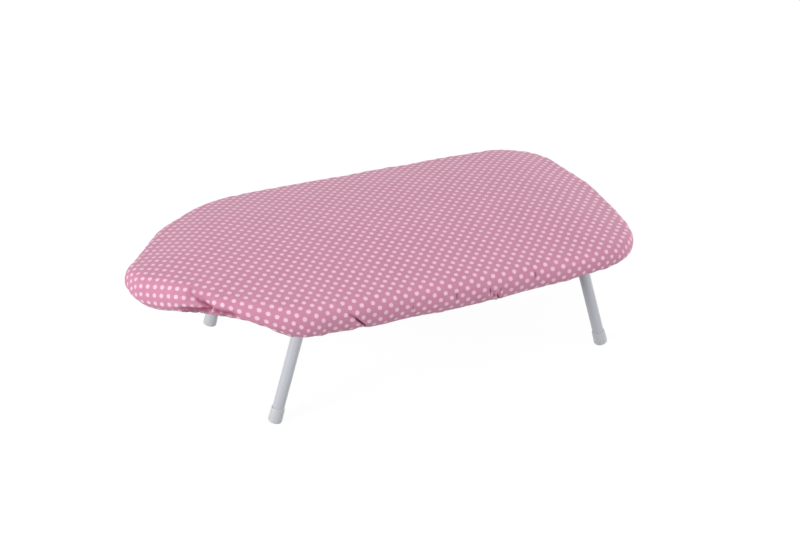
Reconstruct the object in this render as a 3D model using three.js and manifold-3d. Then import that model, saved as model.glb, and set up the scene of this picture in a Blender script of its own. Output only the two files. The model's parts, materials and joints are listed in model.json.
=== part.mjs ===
// Table-top ironing board: a padded, elastic-hemmed cover on a vented steel deck that
// stands on two folding leg frames of bent tube.
// Millimetres and degrees. +Z is up, the nose points to -X, left is +Y. The origin is on
// the table top, under the middle of the board.

import * as THREE from 'three';
import { mergeVertices } from 'three/addons/utils/BufferGeometryUtils.js';
import Module from 'manifold-3d';

const wasm = await Module();
wasm.setup();

// Plan of the steel deck, measured on the outside of its rim
const DECK_LENGTH = 690;
const DECK_WIDTH = 364;
const NOSE_FLAT = 37.6;
const NOSE_RADIUS = 36;
const FLANK_SETBACK = 80;
const FLANK_WIDTH = 236;
const FLANK_RADIUS = 59;
const SHOULDER_SETBACK = 171.4;
const SHOULDER_RADIUS = 112;
const TAIL_SWEEP = 9.5;
const TAIL_RADIUS = 564;
const TAIL_CORNER_RADIUS = 84;

// Stamped deck
const DECK_HEIGHT = 175;
const DECK_SHEET = 1;
const RIM_DEPTH = 24;
const RIM_BEND = 6;
const RIM_LIP = 7;
const VENT_DIAMETER = 15;
const VENT_PITCH = 40;
const VENT_MARGIN = 22;
const VENT_LAND = 4;

// Pad and cover
const PAD_EDGE = 8;
const PAD_LAP_ANGLE = 20;
const CROWN = 15;
const SPINE_INSET = 150;
const COVER_SHEET = 1.2;
const EDGE_STANDOFF = 9;
const EDGE_INSET = 14;
const EDGE_SQUARENESS = 2.2;
const CROWN_START_ANGLE = 80;
const HEM_DROP = 12.4;
const HEM_TURN = 4;

// Where the hem is drawn up and in: fully on the nose's flanks, partly at nose and tail
const RIM_TAPER = 15;
const HEM_DRAW_UP = 3;
const HEM_DRAW_IN = 20;
const DRAW_SETBACK = 104;
const NOSE_DRAW = 0.35;
const TAIL_DRAW = 0.45;
const TAIL_DRAW_LENGTH = 285;

// Hem binding and its elastic
const BINDING_SHEET = 0.8;
const BINDING_LAP = 3;
const ELASTIC_DIAMETER = 2.6;
const ELASTIC_PLAY = 0.5;

// Leg frames
const TUBE_DIAMETER = 16;
const TUBE_WALL = 1;
const BEND_RADIUS = 24;
const SPLAY = 16;
const FRONT_SETBACK = 187.1;
const REAR_SETBACK = 87.4;
const HEM_LEG_GAP = 2.4;
const REAR_STEP_IN = 15;

// Foot caps
const CAP_WALL = 1.4;
const CAP_LENGTH = 21.5;
const CAP_BASE = 4;
const CAP_ROUND = 3;
const CAP_COLLAR = 3;
const CAP_COLLAR_STEP = 0.4;
const SOLE_CUT = 1.4;

// Cross braces, pivot straps, rivets and storage clips
const BRACE_SHEET = 1.2;
const BRACE_HEIGHT = 13.6;
const BRACE_FLANGE = 14;
const BRACE_DRAFT = 4;
const STRAP_SHEET = 1.5;
const STRAP_WIDTH = 16;
const STRAP_FLANGE = 13;
const STRAP_BEND_GAP = 1;
const LUG_SHEET = 1.5;
const LUG_WIDTH = 26;
const LUG_REACH = 16;
const RIVET_DIAMETER = 4;
const RIVET_HEAD_DIAMETER = 8;
const RIVET_HEAD_HEIGHT = 2;
const RIVET_DOME_DIAMETER = 4.4;
const RIVET_DOME_RISE = 0.3;
const RIVET_TAIL_DIAMETER = 6.4;
const RIVET_TAIL_HEIGHT = 1.2;
const CLIP_SHEET = 1;
const CLIP_WIDTH = 16;
const CLIP_REACH = 95;
const CLIP_HOLD = 3;
const CLIP_FLARE = 2;

// Fits and facets
const CLEARANCE = 0.3;
const ARC_STEP = 10;
const LINE_STEP = 110;
const ROUND_SIDES = 12;
const CAP_SIDES = 16;
const BEND_STEPS = 6;
const SMALL_SIDES = 8;

// Sizes that follow from those above
const rad = THREE.MathUtils.degToRad;
const noseX = -DECK_LENGTH / 2;
const tailX = DECK_LENGTH / 2;
const deckUnderside = DECK_HEIGHT - DECK_SHEET;
const edgeTop = DECK_HEIGHT + CLEARANCE + PAD_EDGE + CLEARANCE + COVER_SHEET;
const edgeReach = EDGE_STANDOFF + EDGE_INSET;
const hemInset = EDGE_INSET + HEM_TURN;
const pocketRadius = ELASTIC_DIAMETER / 2 + ELASTIC_PLAY;
const bindingInset = hemInset + CLEARANCE + 2 * pocketRadius + BINDING_SHEET;
const tubeRadius = TUBE_DIAMETER / 2;
const boreRadius = tubeRadius + CLEARANCE;
const capRadius = boreRadius + CAP_WALL;
const webBottom = deckUnderside - CLEARANCE - BRACE_HEIGHT;
const pivotHeight = webBottom - boreRadius;
const soleRadius = capRadius - CAP_ROUND;
const legLength = (pivotHeight + SOLE_CUT - soleRadius * Math.sin(rad(SPLAY))) / Math.cos(rad(SPLAY));
const strapReach = boreRadius + STRAP_SHEET + STRAP_FLANGE;
const rivetOffset = boreRadius + STRAP_SHEET + STRAP_FLANGE / 2;
const braceHalfWeb = strapReach + BRACE_SHEET;
const braceHalfWidth = braceHalfWeb + BRACE_DRAFT + BRACE_FLANGE;

// Finishes
const cotton = { color: 0xe08aa8, roughness: 0.9, metalness: 0 };
const tape = { color: 0xdc7fa0, roughness: 0.9, metalness: 0 };
const rubberThread = { color: 0xf2f0ec, roughness: 0.85, metalness: 0 };
const foam = { color: 0xe6e4de, roughness: 1, metalness: 0 };
const whiteCoat = { color: 0xe9ebf0, roughness: 0.45, metalness: 0.1 };
const zinc = { color: 0xb9bcc0, roughness: 0.35, metalness: 0.9 };
const whiteCap = { color: 0xf0f1f2, roughness: 0.5, metalness: 0 };

function piece(name, geometry, finish) {
  const mesh = new THREE.Mesh(geometry, new THREE.MeshStandardMaterial(finish));
  mesh.name = name;
  return mesh;
}

// Closed bodies for cutting and joining

function weld(geometry) {
  geometry.deleteAttribute('normal');
  geometry.deleteAttribute('uv');
  const merged = mergeVertices(geometry, 1e-4);
  const kept = [];
  const index = merged.index.array;
  for (let i = 0; i < index.length; i += 3) {
    const [a, b, c] = index.slice(i, i + 3);
    if (a !== b && b !== c && c !== a) kept.push(a, b, c);
  }
  merged.setIndex(kept);
  return merged;
}

function toSolid(geometry) {
  const welded = weld(geometry);
  return new wasm.Manifold(new wasm.Mesh({
    numProp: 3,
    vertProperties: new Float32Array(welded.attributes.position.array),
    triVerts: new Uint32Array(welded.index.array),
  }));
}

function toGeometry(solid) {
  const mesh = solid.getMesh();
  const geometry = new THREE.BufferGeometry();
  geometry.setAttribute('position', new THREE.BufferAttribute(mesh.vertProperties, 3));
  geometry.setIndex(new THREE.BufferAttribute(mesh.triVerts, 1));
  geometry.computeVertexNormals();
  return geometry;
}

function upright(radius, bottom, top, x, y, sides) {
  const geometry = new THREE.CylinderGeometry(radius, radius, top - bottom, sides);
  return geometry.rotateX(Math.PI / 2).translate(x, y, (bottom + top) / 2);
}

function drill(solid, cutters) {
  return cutters.reduce((rest, cutter) => rest.subtract(toSolid(cutter)), solid);
}

// Revolved about Z from a profile of [radius, height] pairs, drawn from the bottom up
function revolve(profile, sides) {
  const points = profile.map(([radius, height]) => new THREE.Vector2(radius, height));
  return weld(new THREE.LatheGeometry(points, sides).rotateX(Math.PI / 2));
}

// An outline in X and Z, extruded along Y about the middle of the width
function extrudeAcross(shape, width) {
  const geometry = new THREE.ExtrudeGeometry(shape, { depth: width, bevelEnabled: false });
  return geometry.rotateX(Math.PI / 2).translate(0, width / 2, 0);
}

// Board plan: half of the rim from nose to tail, with its outward normals

function planCorners() {
  const sweep = rad(TAIL_SWEEP);
  const apexX = tailX + TAIL_RADIUS * (1 / Math.cos(sweep) - 1);
  const halfWidth = DECK_WIDTH / 2;
  return [
    { at: new THREE.Vector2(noseX, 0) },
    { at: new THREE.Vector2(noseX, NOSE_FLAT / 2), radius: NOSE_RADIUS },
    { at: new THREE.Vector2(noseX + FLANK_SETBACK, FLANK_WIDTH / 2), radius: FLANK_RADIUS },
    { at: new THREE.Vector2(noseX + SHOULDER_SETBACK, halfWidth), radius: SHOULDER_RADIUS },
    { at: new THREE.Vector2(apexX - Math.tan(sweep) * halfWidth, halfWidth), radius: TAIL_CORNER_RADIUS },
    { at: new THREE.Vector2(apexX, 0), radius: TAIL_RADIUS },
    { at: new THREE.Vector2(apexX - Math.tan(sweep) * halfWidth, -halfWidth) },
  ];
}

// A round at one corner, as the samples along its arc; its radius gives way to short edges
function roundCorner(before, corner, after) {
  const inward = corner.at.clone().sub(before.at);
  const outward = after.at.clone().sub(corner.at);
  const from = inward.angle();
  const turn = Math.atan2(inward.cross(outward), inward.dot(outward));
  const room = 0.5 * Math.min(before.radius ? inward.length() : 2 * inward.length(), outward.length());
  const tangent = Math.min(corner.radius * Math.tan(Math.abs(turn) / 2), room);
  const radius = tangent / Math.tan(Math.abs(turn) / 2);
  const start = corner.at.clone().addScaledVector(inward.clone().normalize(), -tangent);
  const steps = Math.max(1, Math.ceil(Math.abs(turn) / rad(ARC_STEP)));
  const bulge = turn < 0 ? radius : -radius;
  const normalAt = (angle) => new THREE.Vector2(-Math.sin(angle), Math.cos(angle));
  const centre = start.clone().addScaledVector(normalAt(from), -bulge);
  return Array.from({ length: steps + 1 }, (_, i) => {
    const normal = normalAt(from + (turn * i) / steps);
    return { at: centre.clone().addScaledVector(normal, bulge), normal };
  });
}

function halfPlan() {
  const corners = planCorners();
  const samples = [{ at: corners[0].at, normal: new THREE.Vector2(-1, 0) }];
  for (let i = 1; i < corners.length - 1; i += 1) {
    let arc = roundCorner(corners[i - 1], corners[i], corners[i + 1]);
    const apex = i === corners.length - 2;
    if (apex) arc = arc.slice(0, Math.ceil(arc.length / 2));
    const last = samples[samples.length - 1];
    const run = last.at.distanceTo(arc[0].at);
    const pieces = Math.ceil(run / LINE_STEP);
    for (let k = 1; k < pieces; k += 1) {
      samples.push({ at: last.at.clone().lerp(arc[0].at, k / pieces), normal: arc[0].normal });
    }
    samples.push(...arc.slice(run < CLEARANCE ? 1 : 0));
  }
  const tail = samples[samples.length - 1];
  tail.at.set(tailX, 0);
  tail.normal.set(1, 0);
  return samples;
}

const half = halfPlan();
const spineStart = noseX + SPINE_INSET;
const spineEnd = tailX - SPINE_INSET;

// How strongly the hem is drawn up and in at one station, from 0 to 1
function drawAt(x) {
  const { lerp, smoothstep } = THREE.MathUtils;
  const fromNose = x - noseX;
  if (fromNose < DRAW_SETBACK) return lerp(NOSE_DRAW, 1, smoothstep(fromNose, 0, DRAW_SETBACK));
  const flank = 1 - smoothstep(fromNose, DRAW_SETBACK, SHOULDER_SETBACK);
  return flank + TAIL_DRAW * (1 - smoothstep(tailX - x, 0, TAIL_DRAW_LENGTH));
}

const upper = half.map(({ at, normal }) => ({
  at,
  normal,
  spine: new THREE.Vector2(THREE.MathUtils.clamp(at.x, spineStart, spineEnd), 0),
  draw: drawAt(at.x),
}));
const lower = upper.slice(1, -1).reverse().map(({ at, normal, spine, draw }) => ({
  at: new THREE.Vector2(at.x, -at.y),
  normal: new THREE.Vector2(normal.x, -normal.y),
  spine,
  draw,
}));
const plan = [...upper, ...lower];

// Half the board's width at one station, at a given inset from the rim
function halfWidthAt(x, inset) {
  const points = half.map(({ at, normal }) => at.clone().addScaledVector(normal, -inset));
  const next = points.findIndex((point) => point.x >= x);
  if (next < 1) return 0;
  const [a, b] = [points[next - 1], points[next]];
  return THREE.MathUtils.lerp(a.y, b.y, (x - a.x) / (b.x - a.x));
}

// Rings of points round the board, and the skin that joins them

function ring(insetOf, heightOf, toSpine = 0) {
  return plan.map((sample) => {
    const flat = sample.at.clone().addScaledVector(sample.normal, -insetOf(sample));
    flat.lerp(sample.spine, toSpine);
    return new THREE.Vector3(flat.x, flat.y, heightOf(sample));
  });
}

const flatRing = (inset, height, toSpine = 0) => ring(() => inset, () => height, toSpine);

const rimBottom = ({ draw }) => DECK_HEIGHT - RIM_DEPTH + RIM_TAPER * draw;
const hemHeight = (sample) => rimBottom(sample) - HEM_DROP + HEM_DRAW_UP * sample.draw;

// The rounded edge: a squarish oval section, shrunk for the layers inside it
function edgeRing(angle, shrink) {
  const power = 2 / EDGE_SQUARENESS;
  const sine = Math.sin(rad(angle));
  const up = Math.sign(sine) * Math.abs(sine) ** power;
  const inset = EDGE_INSET - (edgeReach - shrink) * Math.cos(rad(angle)) ** power;
  const tuck = angle < 0 ? HEM_DRAW_IN * sine ** 2 : 0;
  return ring(
    ({ draw }) => inset + tuck * draw,
    (sample) => {
      const bottom = hemHeight(sample);
      return (edgeTop + bottom) / 2 + ((edgeTop - bottom) / 2 - shrink) * up;
    },
  );
}

// The crowned top, a parabola from the edge to the spine
function crownRing(toSpine, shrink) {
  const lift = CROWN * (1 - (1 - toSpine) ** 2);
  return edgeRing(CROWN_START_ANGLE, shrink).map((edge, i) => {
    const { spine } = plan[i];
    const crest = edgeTop - shrink + CROWN;
    const height = THREE.MathUtils.lerp(edge.z + lift, crest, toSpine ** 2);
    return edge.clone().lerp(new THREE.Vector3(spine.x, spine.y, edge.z), toSpine).setZ(height);
  });
}

// Each four-sided facet is split along its shorter diagonal, so that nested layers split alike
function loft(rings, closed = false) {
  const count = plan.length;
  const points = rings.flat();
  const bands = closed ? rings.length : rings.length - 1;
  const index = [];
  for (let band = 0; band < bands; band += 1) {
    const here = band * count;
    const next = ((band + 1) % rings.length) * count;
    for (let i = 0; i < count; i += 1) {
      const [a, b] = [here + i, here + ((i + 1) % count)];
      const [c, d] = [next + i, next + ((i + 1) % count)];
      if (points[a].distanceTo(points[d]) < points[b].distanceTo(points[c])) index.push(a, b, d, a, d, c);
      else index.push(a, b, c, b, d, c);
    }
  }
  const geometry = new THREE.BufferGeometry().setFromPoints(points);
  geometry.setIndex(index);
  return weld(geometry);
}

// Soft layers

// A ring at a distance inwards from the cover's cut edge and above the middle of its thickness
function hemRing(inwards, aboveMiddle) {
  return ring(
    ({ draw }) => hemInset + HEM_DRAW_IN * draw + inwards,
    (sample) => hemHeight(sample) + COVER_SHEET / 2 + aboveMiddle,
  );
}

function cover() {
  const outerAngles = [58, 37, 16, -5, -PAD_LAP_ANGLE, -47, -70, -90];
  const innerAngles = [-90, -47, -PAD_LAP_ANGLE, -5, 37];
  return loft([
    ...[1, 0.6, 0.3, 0].map((toSpine) => crownRing(toSpine, 0)),
    ...outerAngles.map((angle) => edgeRing(angle, 0)),
    hemRing(0, -COVER_SHEET / 2),
    hemRing(0, COVER_SHEET / 2),
    ...innerAngles.map((angle) => edgeRing(angle, COVER_SHEET)),
    ...[0, 0.5, 1].map((toSpine) => crownRing(toSpine, COVER_SHEET)),
  ]);
}

function pad() {
  const shrink = COVER_SHEET + CLEARANCE;
  const diagonal = RIM_BEND * (1 - Math.SQRT1_2) - CLEARANCE * Math.SQRT1_2;
  const lap = edgeRing(-PAD_LAP_ANGLE, shrink);
  const lapInner = plan.map(({ at, normal }, i) => {
    const wall = at.clone().addScaledVector(normal, CLEARANCE);
    return new THREE.Vector3(wall.x, wall.y, lap[i].z);
  });
  return loft([
    ...[1, 0.5, 0].map((toSpine) => crownRing(toSpine, shrink)),
    ...[37, -5].map((angle) => edgeRing(angle, shrink)),
    lap,
    lapInner,
    flatRing(-CLEARANCE, DECK_HEIGHT - RIM_BEND),
    flatRing(diagonal, DECK_HEIGHT - diagonal),
    flatRing(RIM_BEND, DECK_HEIGHT + CLEARANCE),
    flatRing(RIM_BEND, DECK_HEIGHT + CLEARANCE, 1),
  ]);
}

// Rings round the middle of the elastic's pocket, one for each angle about it
function pocketRings(radius, angles) {
  return angles.map((angle) => {
    const inwards = CLEARANCE + pocketRadius + radius * Math.cos(rad(angle));
    return hemRing(inwards, radius * Math.sin(rad(angle)));
  });
}

// The binding is a folded tape: two laps over the cover's edge and a pocket for the elastic
function hemBinding() {
  const lapHeight = COVER_SHEET / 2 + CLEARANCE;
  const round = [120, 60, 0, -60, -120];
  return loft([
    hemRing(-BINDING_LAP, lapHeight),
    ...pocketRings(pocketRadius, round),
    hemRing(-BINDING_LAP, -lapHeight),
    hemRing(-BINDING_LAP, -lapHeight - BINDING_SHEET),
    ...pocketRings(pocketRadius + BINDING_SHEET, round.slice().reverse()),
    hemRing(-BINDING_LAP, lapHeight + BINDING_SHEET),
  ], true);
}

function hemElastic() {
  return loft(pocketRings(ELASTIC_DIAMETER / 2, [-150, -90, -30, 30, 90, 150]), true);
}

// Steel deck: a shallow pan with a rounded rim, an inward lip and staggered vents

function ventCentres(keepOut) {
  const rowPitch = VENT_PITCH * Math.sin(rad(60));
  const edge = VENT_MARGIN + VENT_DIAMETER / 2;
  const rows = Math.floor(DECK_WIDTH / 2 / rowPitch);
  const columns = Math.ceil(DECK_LENGTH / 2 / VENT_PITCH);
  const centres = [];
  for (let row = -rows; row <= rows; row += 1) {
    const stagger = Math.abs(row) % 2 ? VENT_PITCH / 2 : 0;
    for (let column = -columns; column <= columns; column += 1) {
      const x = column * VENT_PITCH + stagger;
      const y = row * rowPitch;
      const inside = Math.abs(y) < halfWidthAt(x, edge);
      if (inside && !keepOut.some((box) => box.containsPoint(new THREE.Vector2(x, y)))) centres.push([x, y]);
    }
  }
  return centres;
}

function deck(keepOut) {
  const bend = (radius, angle) => [
    RIM_BEND - radius * Math.sin(rad(angle)),
    DECK_HEIGHT - RIM_BEND + radius * Math.cos(rad(angle)),
  ];
  const inner = RIM_BEND - DECK_SHEET;
  const pan = loft([
    flatRing(RIM_BEND, DECK_HEIGHT, 1),
    ...[0, 45, 90].map((angle) => flatRing(...bend(RIM_BEND, angle))),
    ring(() => 0, rimBottom),
    ring(() => RIM_LIP, rimBottom),
    ring(() => RIM_LIP, (sample) => rimBottom(sample) + DECK_SHEET),
    ring(() => DECK_SHEET, (sample) => rimBottom(sample) + DECK_SHEET),
    ...[90, 45, 0].map((angle) => flatRing(...bend(inner, angle))),
    flatRing(RIM_BEND, deckUnderside, 1),
  ]);
  const vents = ventCentres(keepOut).map(([x, y]) => upright(
    VENT_DIAMETER / 2, deckUnderside - DECK_SHEET, DECK_HEIGHT + DECK_SHEET, x, y, SMALL_SIDES));
  return toGeometry(drill(toSolid(pan), vents));
}

// Leg stations: one frame near the nose, and a narrower one near the tapering tail

const frontX = noseX + FRONT_SETBACK;
const rearX = tailX - REAR_SETBACK;
const frontLegY = halfWidthAt(frontX - TUBE_DIAMETER, bindingInset) - HEM_LEG_GAP - tubeRadius;
const rearLegY = frontLegY - REAR_STEP_IN;
const stations = [
  { name: 'front', x: frontX, legY: frontLegY, outward: -1 },
  { name: 'rear', x: rearX, legY: rearLegY, outward: 1 },
];
const sides = [{ name: 'left', sign: 1 }, { name: 'right', sign: -1 }];

// A path through given points, with one step of the sweep for each leg of the path
class StationPath extends THREE.Curve {
  constructor(points) {
    super();
    this.points = points;
  }

  getPoint(t, target = new THREE.Vector3()) {
    const along = t * (this.points.length - 1);
    const first = Math.min(Math.floor(along), this.points.length - 2);
    return target.lerpVectors(this.points[first], this.points[first + 1], along - first);
  }

  getPointAt(t, target) {
    return this.getPoint(t, target);
  }

  getTangentAt(t, target) {
    return this.getTangent(t, target);
  }
}

// Inverted U of bent tube, hanging from its crossbar on the pivot axis
function legFrame(legY) {
  const tubeEnd = legLength - CAP_BASE - CLEARANCE;
  const halfPath = [new THREE.Vector3(0, legY, -tubeEnd)];
  for (let i = 0; i <= BEND_STEPS; i += 1) {
    const angle = (Math.PI / 2) * (i / BEND_STEPS);
    halfPath.push(new THREE.Vector3(
      0, legY - BEND_RADIUS * (1 - Math.cos(angle)), -BEND_RADIUS * (1 - Math.sin(angle))));
  }
  const mirrored = halfPath.slice().reverse().map(({ y, z }) => new THREE.Vector3(0, -y, z));
  const path = new StationPath([...halfPath, ...mirrored]);
  const section = new THREE.Shape().absarc(0, 0, tubeRadius, 0, 2 * Math.PI);
  section.holes.push(new THREE.Path().absarc(0, 0, tubeRadius - TUBE_WALL, 0, 2 * Math.PI, true));
  return weld(new THREE.ExtrudeGeometry(section, {
    steps: path.points.length - 1,
    curveSegments: ROUND_SIDES / 2,
    extrudePath: path,
  }));
}

// Moulded cap on the end of a leg, cut off level so that it stands flat on the table
function footCap(tilt) {
  const collar = capRadius + CAP_COLLAR_STEP;
  const profile = [
    [0, 0],
    ...[0, 45, 90].map((turn) => [
      soleRadius + CAP_ROUND * Math.sin(rad(turn)), CAP_ROUND * (1 - Math.cos(rad(turn)))]),
    [capRadius, CAP_LENGTH - CAP_COLLAR - CAP_COLLAR_STEP],
    [collar, CAP_LENGTH - CAP_COLLAR],
    [collar, CAP_LENGTH],
    [boreRadius, CAP_LENGTH],
    [boreRadius, CAP_BASE],
    [0, CAP_BASE],
  ];
  const cap = revolve(profile, CAP_SIDES);
  const below = new THREE.BoxGeometry(4 * capRadius, 4 * capRadius, capRadius);
  below.translate(-legLength * Math.sin(tilt), 0, -pivotHeight - capRadius / 2);
  below.rotateY(-tilt);
  below.translate(0, 0, legLength);
  return toGeometry(toSolid(cap).subtract(toSolid(below)));
}

// Folded channel across the deck's underside, with a stop lug bent down beside each leg
function brace(station) {
  const top = deckUnderside - CLEARANCE;
  const inner = braceHalfWeb - BRACE_SHEET;
  const shape = new THREE.Shape([
    [braceHalfWidth, top],
    [braceHalfWidth, top - BRACE_SHEET],
    [braceHalfWeb + BRACE_DRAFT, top - BRACE_SHEET],
    [braceHalfWeb, webBottom],
    [-braceHalfWeb, webBottom],
    [-braceHalfWeb - BRACE_DRAFT, top - BRACE_SHEET],
    [-braceHalfWidth, top - BRACE_SHEET],
    [-braceHalfWidth, top],
    [-inner - BRACE_DRAFT, top],
    [-inner, webBottom + BRACE_SHEET],
    [inner, webBottom + BRACE_SHEET],
    [inner + BRACE_DRAFT, top],
  ].map(([x, z]) => new THREE.Vector2(x, z)));
  const width = 2 * (station.legY + tubeRadius);
  let channel = toSolid(extrudeAcross(shape, width).translate(station.x, 0, 0));
  const lugTop = boreRadius + BRACE_SHEET / 2;
  for (const { sign } of sides) {
    const lug = new THREE.BoxGeometry(LUG_SHEET, LUG_WIDTH, LUG_REACH + lugTop);
    lug.translate(station.outward * (boreRadius + LUG_SHEET / 2), 0, (lugTop - LUG_REACH) / 2);
    lug.rotateY(-station.outward * rad(SPLAY));
    lug.translate(station.x, sign * (width / 2 - LUG_WIDTH / 2), pivotHeight);
    channel = channel.add(toSolid(lug));
  }
  const holes = rivetPlaces(station).map(({ x, y }) => upright(
    RIVET_DIAMETER / 2 + CLEARANCE, webBottom - BRACE_SHEET, webBottom + 2 * BRACE_SHEET, x, y, SMALL_SIDES));
  return toGeometry(drill(channel, holes));
}

function strapY(station) {
  return station.legY - BEND_RADIUS - STRAP_BEND_GAP - STRAP_WIDTH / 2;
}

function rivetPlaces(station) {
  return sides.flatMap(({ name, sign }) => [-1, 1].map((along) => ({
    name: `${station.name}_rivet_${name}_${along < 0 ? 'fore' : 'aft'}`,
    x: station.x + along * rivetOffset,
    y: sign * strapY(station),
  })));
}

// Pivot strap: a half loop under the crossbar, with a riveted foot on each side
function strap(station, sign) {
  const outer = boreRadius + STRAP_SHEET;
  const top = webBottom - CLEARANCE;
  const shape = new THREE.Shape();
  shape.moveTo(-strapReach, top);
  shape.lineTo(-strapReach, top - STRAP_SHEET);
  shape.lineTo(-outer, top - STRAP_SHEET);
  shape.absarc(0, pivotHeight, outer, Math.PI, 2 * Math.PI);
  shape.lineTo(outer, top - STRAP_SHEET);
  shape.lineTo(strapReach, top - STRAP_SHEET);
  shape.lineTo(strapReach, top);
  shape.lineTo(boreRadius, top);
  shape.absarc(0, pivotHeight, boreRadius, 2 * Math.PI, Math.PI, true);
  shape.lineTo(-boreRadius, top);
  const y = sign * strapY(station);
  const loop = new THREE.ExtrudeGeometry(shape, {
    depth: STRAP_WIDTH,
    bevelEnabled: false,
    curveSegments: ROUND_SIDES / 3,
  });
  loop.rotateX(Math.PI / 2).translate(station.x, y + STRAP_WIDTH / 2, 0);
  const holes = [-1, 1].map((along) => upright(
    RIVET_DIAMETER / 2 + CLEARANCE, top - 2 * STRAP_SHEET, top + STRAP_SHEET,
    station.x + along * rivetOffset, y, SMALL_SIDES));
  return toGeometry(drill(toSolid(loop), holes));
}

// Rivet with a domed head below the strap and a set tail above the brace's web
function rivet() {
  const grip = STRAP_SHEET + BRACE_SHEET + 3 * CLEARANCE;
  const head = RIVET_HEAD_DIAMETER / 2;
  const shank = RIVET_DIAMETER / 2;
  const tail = RIVET_TAIL_DIAMETER / 2;
  return revolve([
    [0, -RIVET_HEAD_HEIGHT],
    [RIVET_DOME_DIAMETER / 2, RIVET_DOME_RISE - RIVET_HEAD_HEIGHT],
    [head, 0],
    [shank, 0],
    [shank, grip],
    [tail, grip],
    [tail, grip + RIVET_TAIL_HEIGHT],
    [0, grip + RIVET_TAIL_HEIGHT],
  ], SMALL_SIDES);
}

// Storage clip: a sprung channel under the deck that takes the folded leg
function clip() {
  const top = deckUnderside - CLEARANCE;
  const grip = boreRadius + CLEARANCE / 2;
  const outer = grip + CLIP_SHEET;
  const tip = pivotHeight - CLIP_HOLD;
  const shape = new THREE.Shape([
    [outer, top],
    [-outer, top],
    [-outer, tip],
    [-outer - CLIP_FLARE, tip - CLIP_FLARE],
    [-grip - CLIP_FLARE, tip - CLIP_FLARE],
    [-grip, tip],
    [-grip, top - CLIP_SHEET],
    [grip, top - CLIP_SHEET],
    [grip, tip],
    [grip + CLIP_FLARE, tip - CLIP_FLARE],
    [outer + CLIP_FLARE, tip - CLIP_FLARE],
    [outer, tip],
  ].map(([y, z]) => new THREE.Vector2(y, z)));
  return weld(extrudeAcross(shape, CLIP_WIDTH).rotateZ(Math.PI / 2));
}

const clipX = (station) => station.x - station.outward * CLIP_REACH;

function footprint(x, y, halfLength, halfWidth) {
  const land = VENT_DIAMETER / 2 + VENT_LAND;
  const size = new THREE.Vector2(2 * (halfLength + land), 2 * (halfWidth + land));
  return new THREE.Box2().setFromCenterAndSize(new THREE.Vector2(x, y), size);
}

// The assembly

const board = new THREE.Group();
const keepOut = stations.flatMap((station) => [
  footprint(station.x, 0, braceHalfWidth, station.legY + tubeRadius),
  ...sides.map(({ sign }) => footprint(
    clipX(station), sign * station.legY, CLIP_WIDTH / 2, boreRadius + CLIP_SHEET)),
]);
board.add(
  piece('cover', cover(), cotton),
  piece('hem_binding', hemBinding(), tape),
  piece('hem_elastic', hemElastic(), rubberThread),
  piece('pad', pad(), foam),
  piece('deck', deck(keepOut), whiteCoat),
);

const ironingBoard = new THREE.Group();
ironingBoard.add(board);

for (const station of stations) {
  board.add(piece(`${station.name}_brace`, brace(station), whiteCoat));
  for (const { name, sign } of sides) {
    board.add(piece(`${station.name}_strap_${name}`, strap(station, sign), zinc));
    const holder = piece(`${station.name}_clip_${name}`, clip(), zinc);
    holder.position.set(clipX(station), sign * station.legY, 0);
    board.add(holder);
  }
  for (const { name, x, y } of rivetPlaces(station)) {
    const pin = piece(name, rivet(), zinc);
    pin.position.set(x, y, webBottom - STRAP_SHEET - 2 * CLEARANCE);
    board.add(pin);
  }
  const legs = new THREE.Group();
  const tilt = -station.outward * rad(SPLAY);
  legs.position.set(station.x, 0, pivotHeight);
  legs.rotation.y = tilt;
  legs.add(piece(`${station.name}_leg_frame`, legFrame(station.legY), whiteCoat));
  for (const { name, sign } of sides) {
    const cap = piece(`${station.name}_foot_${name}`, footCap(tilt), whiteCap);
    cap.position.set(0, sign * station.legY, -legLength);
    legs.add(cap);
  }
  ironingBoard.add(legs);
}

export default ironingBoard;
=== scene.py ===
"""Looks of a table-top ironing board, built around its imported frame.

Metres and radians. +X runs from the nose to the tail, left is +Y, and the feet stand on Z = 0.
"""

import json
import math
from typing import NamedTuple

import bmesh
import bpy
import numpy as np
from mathutils import Matrix, Vector


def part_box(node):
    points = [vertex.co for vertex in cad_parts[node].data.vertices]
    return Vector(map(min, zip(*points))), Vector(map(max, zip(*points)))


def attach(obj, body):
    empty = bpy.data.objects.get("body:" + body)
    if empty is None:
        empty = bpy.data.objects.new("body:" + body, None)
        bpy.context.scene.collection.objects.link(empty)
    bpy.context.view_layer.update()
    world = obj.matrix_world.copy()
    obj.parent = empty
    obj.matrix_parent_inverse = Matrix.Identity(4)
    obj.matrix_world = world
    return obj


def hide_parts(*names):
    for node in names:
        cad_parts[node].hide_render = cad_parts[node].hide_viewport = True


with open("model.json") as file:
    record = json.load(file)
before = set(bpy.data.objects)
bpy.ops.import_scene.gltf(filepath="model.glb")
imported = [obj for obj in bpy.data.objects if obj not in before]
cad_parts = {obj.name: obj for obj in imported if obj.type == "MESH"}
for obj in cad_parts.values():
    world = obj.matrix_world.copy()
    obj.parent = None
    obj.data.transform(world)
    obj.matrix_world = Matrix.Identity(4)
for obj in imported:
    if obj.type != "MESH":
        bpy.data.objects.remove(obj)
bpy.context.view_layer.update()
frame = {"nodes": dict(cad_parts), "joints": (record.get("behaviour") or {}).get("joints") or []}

# Board plan, measured on the outside of the deck's rim
deck_low, deck_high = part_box("deck")
NOSE_X = deck_low.x
TAIL_X = deck_high.x
HALF_WIDTH = deck_high.y
NOSE_FLAT = 0.0376
NOSE_RADIUS = 0.036
FLANK_SETBACK = 0.080
FLANK_WIDTH = 0.236
FLANK_RADIUS = 0.059
SHOULDER_SETBACK = 0.1714
SHOULDER_RADIUS = 0.112
TAIL_SWEEP = math.radians(9.5)
TAIL_RADIUS = 0.564
TAIL_CORNER_RADIUS = 0.084
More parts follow.
